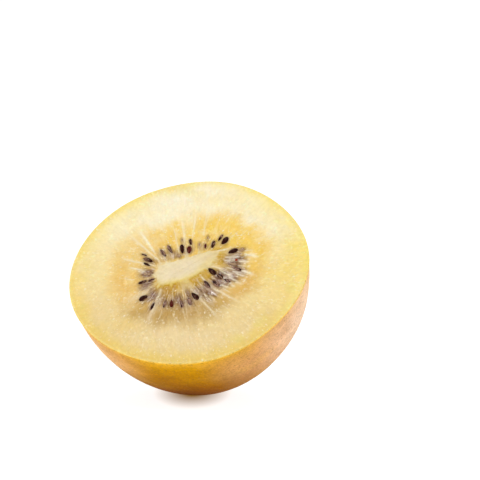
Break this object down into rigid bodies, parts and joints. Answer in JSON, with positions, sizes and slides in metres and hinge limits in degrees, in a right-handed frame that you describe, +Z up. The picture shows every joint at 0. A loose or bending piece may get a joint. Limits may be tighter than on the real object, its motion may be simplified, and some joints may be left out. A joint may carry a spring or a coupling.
{
  "type": "halved golden kiwi fruit",
  "caption": "Golden kiwi fruit cut crosswise, one half lying on its round side with the cut face looking forward and up, showing a pale middle and a ring of dark seeds.",
  "frame": {"origin": "middle of the small flat spot on the skin that the half rests on", "axes": "+Z up, away from the surface it rests on; the cut face looks towards -Y and up, turned a little towards -X; +X runs to the right across the cut face"},
  "size_m": [0.0545, 0.048, 0.0486],
  "materials": {
    "fruit": "moist golden flesh with a thin smooth brown skin",
    "seed": "smooth wet seed coat, nearly black to reddish brown"
  },
  "bodies": {
    "root": {"fruit_half": "fruit", "seed_01": "seed", "seed_02": "seed", "seed_03": "seed", "seed_04": "seed", "seed_05": "seed", "seed_06": "seed", "seed_07": "seed", "seed_08": "seed", "seed_09": "seed", "seed_10": "seed", "seed_11": "seed", "seed_12": "seed", "seed_13": "seed", "seed_14": "seed", "seed_15": "seed", "seed_16": "seed", "seed_17": "seed", "seed_18": "seed", "seed_19": "seed", "seed_20": "seed", "seed_21": "seed", "seed_22": "seed", "seed_23": "seed", "seed_24": "seed", "seed_25": "seed", "seed_26": "seed", "seed_27": "seed", "seed_28": "seed", "seed_29": "seed", "seed_30": "seed", "seed_31": "seed", "seed_32": "seed", "seed_33": "seed", "seed_34": "seed", "seed_35": "seed", "seed_36": "seed", "seed_37": "seed", "seed_38": "seed"}
  },
  "joints": []
}
